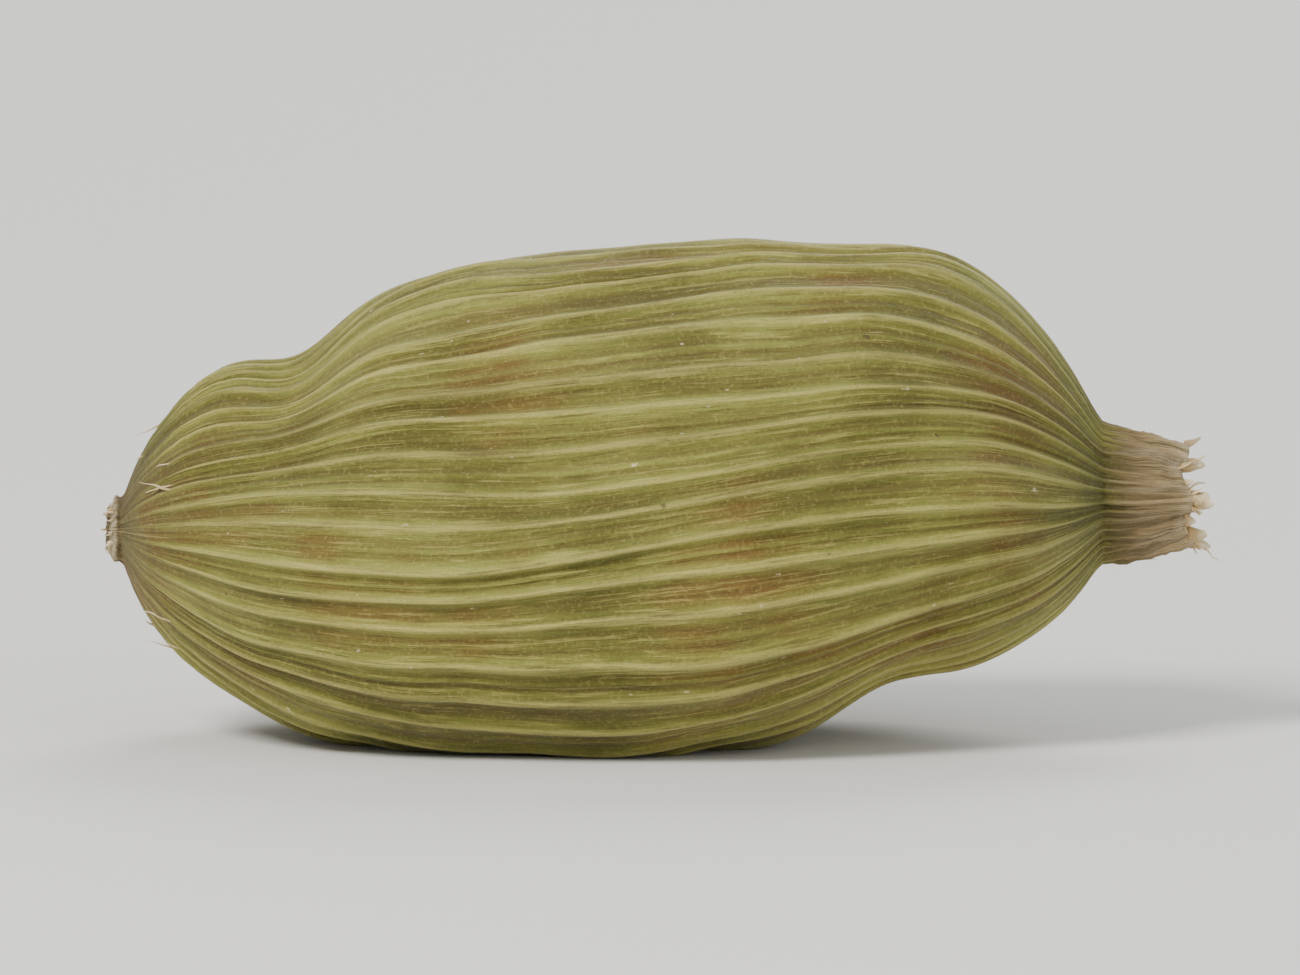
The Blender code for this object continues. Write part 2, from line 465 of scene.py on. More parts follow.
print("a grey of 128 on the screen gives", round(seen(128, 128, 128)[0], 3), "of the light of white")


# %% Pattern helpers
def noise(place, scale=1.0, detail=2.0, roughness=0.5):
    """Smooth noise from 0 to 1."""
    inputs = {"Vector": place, "Scale": scale, "Detail": detail, "Roughness": roughness}
    return pick(add(place.tree, "ShaderNodeTexNoise", inputs))


def joined(x, y, z):
    """Vector made of three flowing values."""
    return pick(add(x.tree, "ShaderNodeCombineXYZ", {"X": x, "Y": y, "Z": z}))


def split(vector):
    """The three parts of a vector, each as a flowing value."""
    node = add(vector.tree, "ShaderNodeSeparateXYZ", {"Vector": vector})
    return [pick(node, axis) for axis in range(3)]


print("patterns can be read")


# %% Shader helpers
def new_material(name):
    """Material with the usual shader, and that shader."""
    material = bpy.data.materials.new(name)
    material.use_nodes = True
    return material, material.node_tree.nodes["Principled BSDF"]


def set_inputs(shader, values):
    """Sets inputs that are the same all over a surface."""
    for name, value in values.items():
        shader.inputs[name].default_value = value


def attribute(tree, name, output="Fac"):
    """What the points of a mesh carry under a name."""
    return pick(add(tree, "ShaderNodeAttribute", attribute_name=name), output)


def object_place(tree):
    """Place on the object itself, in metres."""
    return pick(tree.nodes.new("ShaderNodeTexCoord"), "Object")


def bumps(shader, height, distance):
    """Roughens a shader's surface by a flowing height from 0 to 1."""
    bump = add(height.tree, "ShaderNodeBump", {"Height": height, "Distance": distance, "Strength": 1.0})
    feed(height.tree, shader.inputs["Normal"], pick(bump))


print("shader helpers are ready")

# %% [markdown]
# ## The husk's patterns
#
# Dry husk is mottled over a few millimetres and streaked along its fibres. The streaks have to follow
# the ribs as they converge, so they read the surface's own grain, an attribute that the husk's tree
# will store: how far along, and which way round. Stretched noise on plain coordinates would cut
# across the ribs at both ends. The mottling has no direction, so it reads object coordinates.

# %% Sizes of the husk's patterns
MOTTLE_SIZE = 2.6 * MM
STAIN_SIZE = 3.1 * MM
SPECK_SIZE = 0.24 * MM
GRAIN_SIZE = 0.06 * MM
# Patterns that follow the fibres: how many noise cells lie along the pod, and how many in its radius
BAND_CELLS = (5.0, 14.0)
STREAK_CELLS = (13.0, 74.0)
FOLD_CELLS = (9.0, 13.0)
FLECK_CELLS = (62.0, 34.0)
PUCKER_CELLS = (95.0, 12.0)


def along_grain(grain, cells):
    """Place on the husk, counted in noise cells along it and in its radius."""
    along, around = cells
    share, round_y, round_z = split(grain)
    return joined(share * along, round_y * around, round_z * around)


print("streaks about", round(POD_LENGTH / STREAK_CELLS[0] / MM, 1), "mm long")

# %% [markdown]
# ## The husk's colours
#
# The husk is olive green, paler in patches and here and there stained amber, and its furrows are
# painted brown as painted shade. One picture wrapped round it would smear at the ends, so the colour
# is built up as a painter would: a ground first, then finer and finer marks over it.

# %% Colours and ground of the husk
OLIVE = seen(94, 94, 25)
SAGE = seen(135, 136, 58)
STRAW = seen(190, 179, 102)
UMBER = seen(78, 56, 18)
TAN = seen(184, 154, 106)
PALE = seen(226, 211, 172)
BARK = seen(112, 92, 54)
AMBER = seen(130, 84, 26)
SPECK = seen(66, 44, 24)
DEEP_SHADE = seen(48, 29, 15)
MOTTLE_SPAN = (0.30, 0.70)
BAND_PULL = 0.7
STAIN_SPAN = (0.49, 0.69)
STAIN_RANGE = (0.22, 0.78)
FURROW_SPAN = (0.02, 0.42)
FURROW_SHADE_RANGE = (0.32, 0.76)


def green_ground(grain, ridge, place):
    """Mottled green, with amber stains, and umber painted into the furrows as painted shade."""
    furrow = fade(ridge, *FURROW_SPAN)
    mottle = noise(place, 1.0 / MOTTLE_SIZE, detail=3.0, roughness=0.55)
    bands = noise(along_grain(grain, BAND_CELLS))
    colour = tinted(OLIVE, SAGE, step(mottle + (bands - 0.5) * BAND_PULL, *MOTTLE_SPAN))
    stain = step(noise(place, 1.0 / STAIN_SIZE, detail=3.0, roughness=0.6), *STAIN_SPAN)
    colour = tinted(colour, AMBER, stain * between(*STAIN_RANGE, furrow))
    # Umber in the furrows is painted shade, strongest at the bottom of each furrow.
    return tinted(colour, UMBER, furrow * between(*FURROW_SHADE_RANGE, bands))


print("olive, as light:", [round(part, 3) for part in OLIVE[:3]])

# %% [markdown]
# ## Marks of the fibres
#
# The crests are laid over with straw, partly their own paler tone and partly a painted highlight. Fibres
# show as light and dark hairlines, each rib is tinted a little differently, and the skin has a fine,
# papery grain. Each mark is one colour laid over the last, where its pattern rises through a span.

# %% Marks of the fibres
# Each mark: the span in which its pattern rises, and how strongly it covers
CREST_TONE_AND_HIGHLIGHT = ((0.50, 1.10), 0.52)
LIGHT_HAIRLINE = ((0.545, 0.630), 0.36)
DARK_HAIRLINE = ((0.550, 0.635), 0.44)
LIGHT_GRAIN = ((0.52, 0.72), 0.22)
DARK_GRAIN = ((0.54, 0.74), 0.22)
CREST_RAGGEDNESS = 0.8
TINT_STRENGTH = 0.40


def fibre_marks(colour, ridge, tint, streaks, paper):
    """Straw crests, partly a painted highlight, hairlines, a tint for each rib, and the grain of dry paper.
    """
    crest = ridge + (streaks - 0.5) * CREST_RAGGEDNESS
    # Straw on the crests is partly the husk's paler tone and partly a painted highlight.
    colour = laid_over(colour, STRAW, crest, *CREST_TONE_AND_HIGHLIGHT)
    colour = laid_over(colour, STRAW, streaks, *LIGHT_HAIRLINE)
    colour = laid_over(colour, UMBER, 1.0 - streaks, *DARK_HAIRLINE)
    colour = tinted(colour, UMBER, (tint - 0.5).math("MAXIMUM", 0.0) * TINT_STRENGTH)
    colour = laid_over(colour, STRAW, paper, *LIGHT_GRAIN)
    return laid_over(colour, UMBER, 1.0 - paper, *DARK_GRAIN)


print("a light hairline covers", LIGHT_HAIRLINE[1], "of what is under it")

# %% [markdown]
# ## Dry ends
#
# Both ends dry first. They are bark brown, tan on their folds, and bleach almost white at the rims of
# the scar and the beak. The brown reaches furthest along the crests, so its edge is ragged: a straight
# edge would look like a painted band.

# %% Dry ends
END_RAGGEDNESS = 0.05
CREST_LEAD = 0.02
MIDDLE_RIDGE = 0.4
DRY_SCAR_SPAN = (0.008, 0.032)
DRY_BEAK_SPAN = (0.908, 0.940)
OUTER_SCAR_SPAN = (0.004, 0.024)
OUTER_BEAK_SPAN = (0.925, 0.985)
TAN_RANGE = (0.30, 1.0)
PALE_STREAK_SPAN = (0.45, 0.70)
PALE_RANGE = (0.12, 0.50)
DRY_STRENGTH = 0.92
SCAR_RIM_SPAN = (0.004, 0.014)
BEAK_RIM_SPAN = (0.974, 1.0)
RIM_RANGE = (0.2, 0.85)


def dry_ends(colour, share, ridge, streaks, folds):
    """Bark brown, tan and pale towards the scar and the beak."""
    reach = (streaks - 0.5) * END_RAGGEDNESS + (ridge - MIDDLE_RIDGE) * CREST_LEAD
    near_scar = fade(share - reach, *DRY_SCAR_SPAN)
    near_beak = step(share + reach, *DRY_BEAK_SPAN)
    outwards = step(share, *OUTER_BEAK_SPAN).math("MAXIMUM", fade(share, *OUTER_SCAR_SPAN))
    bark = tinted(BARK, TAN, folds * between(*TAN_RANGE, outwards))
    dry = tinted(bark, PALE, step(streaks, *PALE_STREAK_SPAN) * between(*PALE_RANGE, outwards))
    colour = tinted(colour, dry, near_scar.math("MAXIMUM", near_beak) * DRY_STRENGTH)
    rims = fade(share, *SCAR_RIM_SPAN).math("MAXIMUM", step(share + reach, *BEAK_RIM_SPAN))
    return tinted(colour, PALE, rims * between(*RIM_RANGE, folds))


print("dry beak:", round((1.0 - DRY_BEAK_SPAN[0]) * POD_LENGTH / MM, 2), "mm long")

# %% [markdown]
# ## Specks, flecks and the insides of the cups
#
# A few dark specks and pale flecks of scurf lie on the skin. They could be scattered one by one, but
# a fine noise cut off near its top does the same. The cup of the scar and the hollow of the beak are
# darkened inwards with painted shade: first a brown wall, then an almost black floor.

# %% Specks, flecks and cups
# Each mark: the span in which its pattern rises, and how strongly it covers
DARK_SPECK = ((0.74, 0.79), 0.7)
PALE_FLECK = ((0.715, 0.74), 0.55)
WALL_SHADE = ((0.07, 0.22), 0.8)
FLOOR_SHADE = ((0.18, 0.62), 1.0)
CUP_RAGGEDNESS = 0.10
FOLD_SPAN = (0.40, 0.62)


def husk_colour(grain, ridge, tint, hollow, streaks, place, paper):
    """The whole colour of the husk, from its ground to its smallest marks."""
    folds = step(noise(along_grain(grain, FOLD_CELLS), detail=4.0, roughness=0.7), *FOLD_SPAN)
    colour = green_ground(grain, ridge, place)
    colour = fibre_marks(colour, ridge, tint, streaks, paper)
    colour = dry_ends(colour, split(grain)[0], ridge, streaks, folds)
    colour = laid_over(colour, SPECK, noise(place, 1.0 / SPECK_SIZE), *DARK_SPECK)
    flecks = noise(along_grain(grain, FLECK_CELLS), detail=3.0, roughness=0.6)
    colour = laid_over(colour, PALE, flecks, *PALE_FLECK)
    # The cups are painted darker inwards as painted shade: a brown wall, then an almost black floor.
    cup_shade = hollow + (folds - 0.5) * CUP_RAGGEDNESS
    colour = laid_over(colour, BARK, cup_shade, *WALL_SHADE)
    return laid_over(colour, DEEP_SHADE, cup_shade, *FLOOR_SHADE)


print("noise for the specks:", round(SPECK_SIZE / MM, 2), "mm a cell")

# %% [markdown]
# ## The husk's finish
#
# Husk is matt and papery, a little smoother on the crests, which get rubbed, and its thin skin lets
# a trace of light in. Relief finer than the mesh is left to bumps: the fibres lengthwise, short
# puckers across the furrows, and the grain of the skin.

# %% Husk finish
FURROW_AND_CREST_ROUGHNESS = (0.80, 0.60)
STREAK_ROUGHNESS = 0.3
PUCKER_FADE = (0.2, 0.8)
PUCKER_PART = 0.6
PAPER_PART = 0.4
RELIEF = 0.050 * MM
HUSK_SHADER = {
    "Specular IOR Level": 0.38,
    "Sheen Weight": 0.10,
    "Sheen Roughness": 0.45,
    "Subsurface Weight": 0.08,
    "Subsurface Radius": (1.0, 0.9, 0.35),
    "Subsurface Scale": 0.2 * MM,
}


def husk_material():
    material, shader = new_material("dry_green_husk")
    tree = material.node_tree
    grain = attribute(tree, "grain", "Vector")
    ridge = attribute(tree, "ridge")
    place = object_place(tree)
    streaks = noise(along_grain(grain, STREAK_CELLS), detail=4.0, roughness=0.68)
    paper = noise(place, 1.0 / GRAIN_SIZE, detail=3.0, roughness=0.6)
    tint, hollow = attribute(tree, "rib_tint"), attribute(tree, "hollow")
    colour = husk_colour(grain, ridge, tint, hollow, streaks, place, paper)
    rough = between(*FURROW_AND_CREST_ROUGHNESS, ridge) + (streaks - 0.5) * STREAK_ROUGHNESS
    feed(tree, shader.inputs["Base Color"], colour)
    feed(tree, shader.inputs["Roughness"], rough)
    set_inputs(shader, HUSK_SHADER)
    puckers = noise(along_grain(grain, PUCKER_CELLS)) * fade(ridge, *PUCKER_FADE)
    bumps(shader, streaks + puckers * PUCKER_PART + paper * PAPER_PART, RELIEF)
    return material


GREEN_HUSK = husk_material()
print("made", GREEN_HUSK.name, "of", len(GREEN_HUSK.node_tree.nodes), "nodes")

# %% [markdown]
# ## Rows and columns of the husk
#
# The husk is a flat grid that a tree rolls up. Its rows run round the pod and its columns along it,
# twelve to a rib. The rows past each end turn inwards and close the cup of the scar and the hollow of
# the beak at a pole. Rows crowd towards both ends, where the shape is smallest. A sphere pulled into
# shape would do for the body, but its rows and columns wouldn't follow the ribs.

# %% Rows and columns of the husk
HUSK_ROWS = 170
CUP_ROWS = 10
LAST_ROW = HUSK_ROWS + 2 * CUP_ROWS
ROW_CROWDING = 0.7
COLUMNS_PER_RIB = 12


def flat_grid(tree, size):
    """Grid of rows and columns, the row of each point, and its turn round the pod from 0 to 1."""
    inputs = {"Size X": 1.0, "Size Y": 1.0}
    inputs |= {"Vertices X": size["Rows"], "Vertices Y": size["Columns"]}
    mesh = pick(add(tree, "GeometryNodeMeshGrid", inputs))
    grid_x, grid_y, _ = split(pick(tree.nodes.new("GeometryNodeInputPosition")))
    return mesh, (grid_x + 0.5) * float(LAST_ROW), grid_y + 0.5


def row_place(row):
    """How far along the husk a row lies, and how far out from the pole of each cup."""
    even = from_zero_to_one((row - float(CUP_ROWS)) / float(HUSK_ROWS))
    crowded = 0.5 - cosine(even * math.pi) * 0.5
    share = between(even, crowded, ROW_CROWDING)
    in_scar = from_zero_to_one(row / float(CUP_ROWS))
    in_beak = from_zero_to_one((float(LAST_ROW) - row) / float(CUP_ROWS))
    return share, in_scar, in_beak


def rib_place(turn, share):
    """The rib before a point, how far on the point is towards the next, and the point's angle."""
    rib = (turn * float(RIB_COUNT)).math("FLOOR")
    part = turn * float(RIB_COUNT) - rib
    return rib, part, between(rib_angle(rib, share), rib_angle(rib + 1.0, share), part)


print("grid:", LAST_ROW + 1, "rows of", RIB_COUNT * COLUMNS_PER_RIB, "columns")

# %% [markdown]
# ## Relief of the dry skin
#
# Dry skin is never even. Seeds press it out, fibres stand up in it, it wrinkles across the furrows,
# and the nub and the beak are rough as cork. Each of these is a noise stretched its own way on a
# smooth pod, faded in where that relief lies. The ribs run unbroken from end to end, which no noise
# does, so they keep their rule, and noise only makes them stronger here and weaker there.

# %% Relief of the dry skin
# How many noise cells lie along the pod, and how many in its radius
FIBRE_CELLS = (9.0, 21.0)
WRINKLE_CELLS = (52.0, 8.0)
CORK_CELLS = (90.0, 3.4)
STRENGTH_CELLS = (6.0, 1.9)
BULGE_CELLS_IN_RADIUS = 0.22
RIB_STRENGTH_RANGE = (0.50, 1.16)
NUB_SPAN = (0.016, 0.030)


def round_the_axis(share, angle, cells):
    """Place on a smooth pod, counted in noise cells along it and in its radius."""
    along, around = cells
    return joined(share * along, cosine(angle) * around, cosine(angle - QUARTER) * around)


def rib_relief(rib, part, profile, share, angle, size):
    """Height of the ribs, which noise makes stronger here and weaker there."""
    strength = between(*RIB_STRENGTH_RANGE, noise(round_the_axis(share, angle, STRENGTH_CELLS), detail=1.0))
    tallness = between(rib_tallness(rib), rib_tallness(rib + 1.0), part) * strength * ribbed(share)
    return tallness * (profile - 0.5) * size["Rib Height"]


def dry_relief(profile, share, angle, size):
    """Height of the seeds' bulges, the fibres, the wrinkles in the furrows, and the corky ends."""
    on_body = body_share(share)
    cells = size["Pod Length"] / size["Seed Bulge Size"]
    bulge = noise(round_the_axis(share, angle, (cells, cells * BULGE_CELLS_IN_RADIUS)), detail=1.0)
    fibre = noise(round_the_axis(share, angle, FIBRE_CELLS))
    wrinkle = noise(round_the_axis(share, angle, WRINKLE_CELLS), detail=1.0)
    cork = noise(round_the_axis(share, angle, CORK_CELLS), detail=3.0, roughness=0.65)
    height = (bulge - 0.5) * size["Seed Bulge Height"] * on_body
    height += (fibre - 0.5) * size["Fibre Height"] * on_body
    height += (wrinkle - 0.5) * (1.0 - profile) * size["Wrinkle Height"] * on_body
    return height + (cork - 0.5) * size["Cork Height"] * (1.0 - on_body + fade(share, *NUB_SPAN))


print("relief: ribs, bulges, fibres, wrinkles, cork")

# %% [markdown]
# ## Cups, pleats and torn rims
#
# The stalk left a shallow cup with a rounded, slightly slanting rim. The flower left a hollow with a
# torn rim, and the beak under it has dried in pleats. A cutting tool could bite these out of the
# mesh, but it would leave ragged faces, so the rows at both ends are only moved: along the pod for
# the cups and rims, and outwards for the pleats.

# %% Rims and cups
SCAR_CUP_DEPTH = 0.22 * MM
SCAR_CUP_SPAN = (0.45, 0.86)
SCAR_SLANT = 0.10 * MM
SCAR_SLANT_TURN = 2.6
SCAR_RAGGEDNESS = 0.12 * MM
SCAR_RAGGED_SCALE = 1.7
SCAR_BROKEN_SPAN = (0.0, 0.016)
RIM_ROUNDING = 0.05 * MM
RIM_ROUNDING_SPAN = (0.80, 1.0)
RIM_ROUNDING_FADE = (0.0, 0.006)
BEAK_CUP_DEPTH = 0.60 * MM
BEAK_CUP_SPAN = (0.50, 0.90)
BEAK_TEETH = 5
BEAK_TOOTH = 0.19 * MM
BEAK_SLANT = 0.13 * MM
BEAK_SLANT_TURN = 1.0
BEAK_RAGGEDNESS = 0.22 * MM
BEAK_RAGGED_SCALE = 1.0
BEAK_TORN_SPAN = (0.950, 1.0)
RAGGED_CELLS = (0.0, 5.0)


def raised_cosine(angle):
    """Cosine that runs from 0 to 1."""
    return cosine(angle) * 0.5 + 0.5


def ragged(share, around, scale):
    """Uneven noise about 0 that changes only round the pod."""
    return noise(round_the_axis(share, around, RAGGED_CELLS), scale, detail=3.0, roughness=0.7) - 0.5


def with_scar(x, share, around, in_scar, width):
    """Moves the scar's rows along the pod: its cup, its rounded rim and its broken edge."""
    cup = fade(in_scar, *SCAR_CUP_SPAN) * SCAR_CUP_DEPTH
    rounding = step(in_scar, *RIM_ROUNDING_SPAN) * fade(share, *RIM_ROUNDING_FADE) * RIM_ROUNDING
    slant = raised_cosine(around - SCAR_SLANT_TURN) * SCAR_SLANT
    rough = ragged(share, around, SCAR_RAGGED_SCALE) * SCAR_RAGGEDNESS
    broken = (slant + rough) * fade(share, *SCAR_BROKEN_SPAN) * width
    return x + cup + rounding + broken


def with_beak(x, share, around, in_beak, width):
    """Moves the beak's rows along the pod: its hollow and its slanting, torn rim."""
    cup = fade(in_beak, *BEAK_CUP_SPAN) * BEAK_CUP_DEPTH
    tooth = raised_cosine(around * BEAK_TEETH) * BEAK_TOOTH
    slant = raised_cosine(around - BEAK_SLANT_TURN) * BEAK_SLANT
    rough = ragged(share, around, BEAK_RAGGED_SCALE) * BEAK_RAGGEDNESS
    torn = (tooth + slant + rough) * step(share, *BEAK_TORN_SPAN) * width
    return x - cup - torn


print("cups:", round(SCAR_CUP_DEPTH / MM, 2), "and", round(BEAK_CUP_DEPTH / MM, 2), "mm deep")

# %% Pleats of the beak and bend of the axis
BEAK_PLEATS = 9
PLEAT_HEIGHT = 0.070 * MM
PLEAT_SPAN = (0.900, 0.960)
CRUMPLE_CELLS = (14.0, 2.0)
AXIS_RISE = 0.82 * MM
AXIS_RISE_SPAN = (0.28, 0.86)
BEAK_DROOP = 0.28 * MM
BEAK_DROOP_SPAN = (0.80, 0.95)
SIDE_BOW = 0.35 * MM


def beak_pleats(turn, share, angle):
    """Height of the uneven pleats that the beak dried in."""
    crumpled = noise(round_the_axis(share, angle, CRUMPLE_CELLS)) * TURN
    return cosine(turn * (TURN * BEAK_PLEATS) + crumpled) * step(share, *PLEAT_SPAN) * PLEAT_HEIGHT


def axis_bend(share):
    """How far the pod's axis lies sideways and upwards at a place along it."""
    rise = step(share, *AXIS_RISE_SPAN) * AXIS_RISE - step(share, *BEAK_DROOP_SPAN) * BEAK_DROOP
    return cosine(share * math.pi - QUARTER) * -SIDE_BOW, rise


print("the beak half rises by", round(AXIS_RISE / MM, 2), "mm")

# %% [markdown]
# ## The husk's tree
#
# Now the rule gives each grid point its place, and the points keep what the material and the loose
# fibres need to know. Then the belly is pressed flat where it rests, as in the solid, the husk is put
# where the solid is, and the grid's edges are joined, so that the husk is one closed skin.

# %% Steps of the husk's tree
FLAT_DEPTH = 0.42 * MM
JOIN_DISTANCE = 0.0001 * MM


def remember(mesh, name, value, kind="FLOAT"):
    """Stores a value on the points of a mesh under a name."""
    inputs = {"Geometry": mesh, "Name": name, "Value": value}
    return pick(add(mesh.tree, "GeometryNodeStoreNamedAttribute", inputs, data_type=kind))


def moved(mesh, place):
    """Mesh with its points put at a place."""
    return pick(add(mesh.tree, "GeometryNodeSetPosition", {"Geometry": mesh, "Position": place}))


def settled(mesh):
    """Rests the belly on z = 0, pressed flat, and puts the husk where the solid is."""
    box = add(mesh.tree, "GeometryNodeBoundBox", {"Geometry": mesh})
    least, most = split(pick(box, "Min")), split(pick(box, "Max"))
    here = split(pick(mesh.tree.nodes.new("GeometryNodeInputPosition")))
    x = here[0] - least[0] + low.x
    y = here[1] - (least[1] + most[1]) * 0.5
    z = (here[2] - least[2] - FLAT_DEPTH).math("MAXIMUM", 0.0)
    return moved(mesh, joined(x, y, z))


def closed(mesh):
    """Joins the grid's edges and its rows at the poles, and turns the faces outwards."""
    merged = add(mesh.tree, "GeometryNodeMergeByDistance", {"Geometry": mesh, "Distance": JOIN_DISTANCE})
    return pick(add(mesh.tree, "GeometryNodeFlipFaces", {"Mesh": pick(merged)}))


print("belly pressed flat by", round(FLAT_DEPTH / MM, 2), "mm")

# %% Husk tree
HUSK_SIZES = {
    "Pod Length": POD_LENGTH,
    "Body Radius": BODY_RADIUS,
    "Rib Height": RIB_HEIGHT,
    "Fibre Height": 0.070 * MM,
    "Wrinkle Height": 0.075 * MM,
    "Cork Height": 0.120 * MM,
    "Seed Bulge Height": 0.17 * MM,
    "Seed Bulge Size": 2.1 * MM,
    "Rows": LAST_ROW + 1,
    "Columns": RIB_COUNT * COLUMNS_PER_RIB + 1,
}


def husk_tree():
    tree, size = new_tree("husk", HUSK_SIZES)
    mesh, row, turn = flat_grid(tree, size)
    share, in_scar, in_beak = row_place(row)
    rib, part, angle = rib_place(turn, share)
    around = turn * TURN
    width = in_scar * in_beak
    profile = rib_profile(part, rib)
    # Form, then ribs and pleats, then the relief of the skin
    radius = girth(share) * size["Body Radius"] + form_height(share, angle)
    lift = rib_relief(rib, part, profile, share, angle, size) + beak_pleats(turn, share, angle)
    reach = (radius + lift + dry_relief(profile, share, angle, size)) * width
    sideways, rise = axis_bend(share)
    x = with_scar(share * size["Pod Length"], share, around, in_scar, width)
    x = with_beak(x, share, around, in_beak, width)
    y = sideways + reach * cosine(angle)
    z = rise + reach * cosine(angle - QUARTER)
    # What the material and the loose fibres need to know
    ring = joined(share, cosine(around), cosine(around - QUARTER))
    mesh = remember(mesh, "grain", ring, "FLOAT_VECTOR")
    mesh = remember(mesh, "ridge", profile * ribbed(share))
    mesh = remember(mesh, "rib_tint", rib_tint(part, rib))
    mesh = remember(mesh, "hollow", 1.0 - width)
    mesh = closed(settled(moved(mesh, joined(x, y, z))))
    finish_tree(mesh, size["Finish"])
    print("husk tree:", len(tree.nodes), "nodes")
    return tree


husk = grow("husk", husk_tree(), HUSK_SIZES, GREEN_HUSK)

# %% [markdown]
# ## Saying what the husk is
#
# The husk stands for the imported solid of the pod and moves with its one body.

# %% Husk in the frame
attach(husk, "root")
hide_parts("pod")
print("husk box:", [round(side / MM, 2) for side in husk.dimensions], "mm")

# %% [markdown]
# ## Dry shreds and fibres
#
# Where the flower broke off, the beak ends in papery shreds and threads. Broken fibres stand round
# the scar, and a few have come loose from ribs near both ends. They could be drawn one by one, but
# they all are the same thing, a tapered strip that grows from a point of the husk. So one tree plants
# such strips on points that it chooses by how far along the husk they lie. Each strip is a closed box
# of a few dozen faces. Its inputs say how many, how long, how wide, and how far they lean outwards.

# %% One strip
STRIP_POINTS = {"Vertices X": 3, "Vertices Y": 2, "Vertices Z": 9}
TIP_TAPER = 0.85


def stored(tree, name, kind="FLOAT"):
    """Value that each point carries under a name."""
    return pick(add(tree, "GeometryNodeInputNamedAttribute", {"Name": name}, data_type=kind))


def chance(seed, least=0.0, most=1.0):
    """Random value for each point, from least to most."""
    node = add(seed.tree, "FunctionNodeRandomValue", {"Seed": seed}, data_type="FLOAT")
    feed(seed.tree, node.inputs[2], least)
    feed(seed.tree, node.inputs[3], most)
    return pick(node, 1)


def strip(tree, size):
    """Closed tapered strip that stands on the origin, one metre long until it is planted."""
    block = pick(add(tree, "GeometryNodeMeshCube", {"Size": (1.0, 1.0, 1.0)} | STRIP_POINTS))
    x, y, z = split(pick(tree.nodes.new("GeometryNodeInputPosition")))
    along = z + 0.5
    block = remember(block, "along", along)
    taper = 1.0 - along ** size["Bluntness"] * TIP_TAPER
    curled = y * size["Thickness"] * taper + along * along * size["Curl"]
    return moved(block, joined(x * size["Width"] * taper, curled, along))


print("a strip's tip keeps", round(1.0 - TIP_TAPER, 2), "of its width")

# %% Where strips grow and how they stand
OUTSIDE = 0.001


def chosen_points(mesh, size):
    """Points on the outside of the husk, in a span of its length, of which chance picks a part."""
    tree = mesh.tree
    share = split(stored(tree, "grain", "FLOAT_VECTOR"))[0]
    chosen = share.math("GREATER_THAN", size["From"]) * share.math("LESS_THAN", size["To"])
    chosen *= stored(tree, "hollow").math("LESS_THAN", OUTSIDE)
    chosen *= stored(tree, "ridge").math("GREATER_THAN", size["Least Ridge"])
    chosen *= chance(size["Seed"]).math("LESS_THAN", size["Part Planted"])
    return pick(add(tree, "GeometryNodeMeshToPoints", {"Mesh": mesh, "Selection": chosen}))


def leaning(tree, size):
    """Turn that lays a strip along the husk and lets it lean outwards by chance."""
    out_x, out_y, out_z = split(stored(tree, "outward", "FLOAT_VECTOR"))
    lean = chance(size["Seed"] + 1.0, size["Least Lean"], size["Most Lean"])
    forward = size["Forward"]
    ahead = joined(
        (1.0 - out_x * out_x) * forward + out_x * lean,
        out_y * (lean - out_x * forward),
        out_z * (lean - out_x * forward),
    )
    sideways = joined(out_x * 0.0, out_z, out_y * -1.0)
    axes = {"Primary Axis": ahead, "Secondary Axis": sideways}
    return pick(add(tree, "FunctionNodeAxesToRotation", axes, primary_axis="Z", secondary_axis="X"))


print("strips grow on the outside of the husk only")

# %% Strand tree
ROOT_DEPTH = 0.03 * MM
BEND_SIZE = 0.30 * MM
STRIP_WIDTH_RANGE = (0.5, 1.0)


def bent(strands, size):
    """Bends each strip by noise, more towards its tip, and sinks its root into the husk."""
    tree = strands.tree
    here = pick(tree.nodes.new("GeometryNodeInputPosition"))
    wave = add(tree, "ShaderNodeTexNoise", {"Vector": here, "Scale": 1.0 / BEND_SIZE, "Detail": 1.0})
    along = stored(tree, "along")
    bend = [(part - 0.5) * along * size["Bend"] for part in split(pick(wave, "Color"))]
    sunk = [part * -ROOT_DEPTH for part in split(stored(tree, "outward", "FLOAT_VECTOR"))]
    offset = joined(*[one + other for one, other in zip(bend, sunk)])
    return pick(add(tree, "GeometryNodeSetPosition", {"Geometry": strands, "Offset": offset}))


def strand_tree(sizes):
    """Plants strips on the chosen points of a mesh, leaning from its surface."""
    tree, size = new_tree("strands", sizes)
    normal = pick(tree.nodes.new("GeometryNodeInputNormal"))
    mesh = remember(size["Mesh"], "outward", normal, "FLOAT_VECTOR")
    length = chance(size["Seed"] + 2.0, size["Least Length"], size["Most Length"])
    width = chance(size["Seed"] + 3.0, *STRIP_WIDTH_RANGE)
    planting = {"Points": chosen_points(mesh, size), "Instance": strip(tree, size)}
    planting |= {"Rotation": leaning(tree, size), "Scale": joined(width, width, length)}
    planted = pick(add(tree, "GeometryNodeInstanceOnPoints", planting))
    planted = pick(add(tree, "GeometryNodeRealizeInstances", {"Geometry": planted}))
    finish_tree(bent(planted, size), size["Finish"])
    return tree


print("roots sink by", round(ROOT_DEPTH / MM, 2), "mm")

# %% [markdown]
# ## The fibres' finish
#
# Torn husk dries to a pale straw that is a little browner at the root. It is matt and thin enough for
# some light to get through.

# %% Fibre finish
FIBRE_MOTTLE_SIZE = 0.25 * MM
FIBRE_MOTTLE_PULL = 1.6
ROOT_TO_TIP_SPAN = (0.1, 1.1)
PALE_TIP = 0.9
FIBRE_ROUGHNESS = (0.55, 0.80)
FIBRE_RELIEF = 0.006 * MM
FIBRE_SHADER = {
    "Subsurface Weight": 0.12,
    "Subsurface Radius": (1.0, 0.9, 0.7),
    "Subsurface Scale": 0.1 * MM,
}


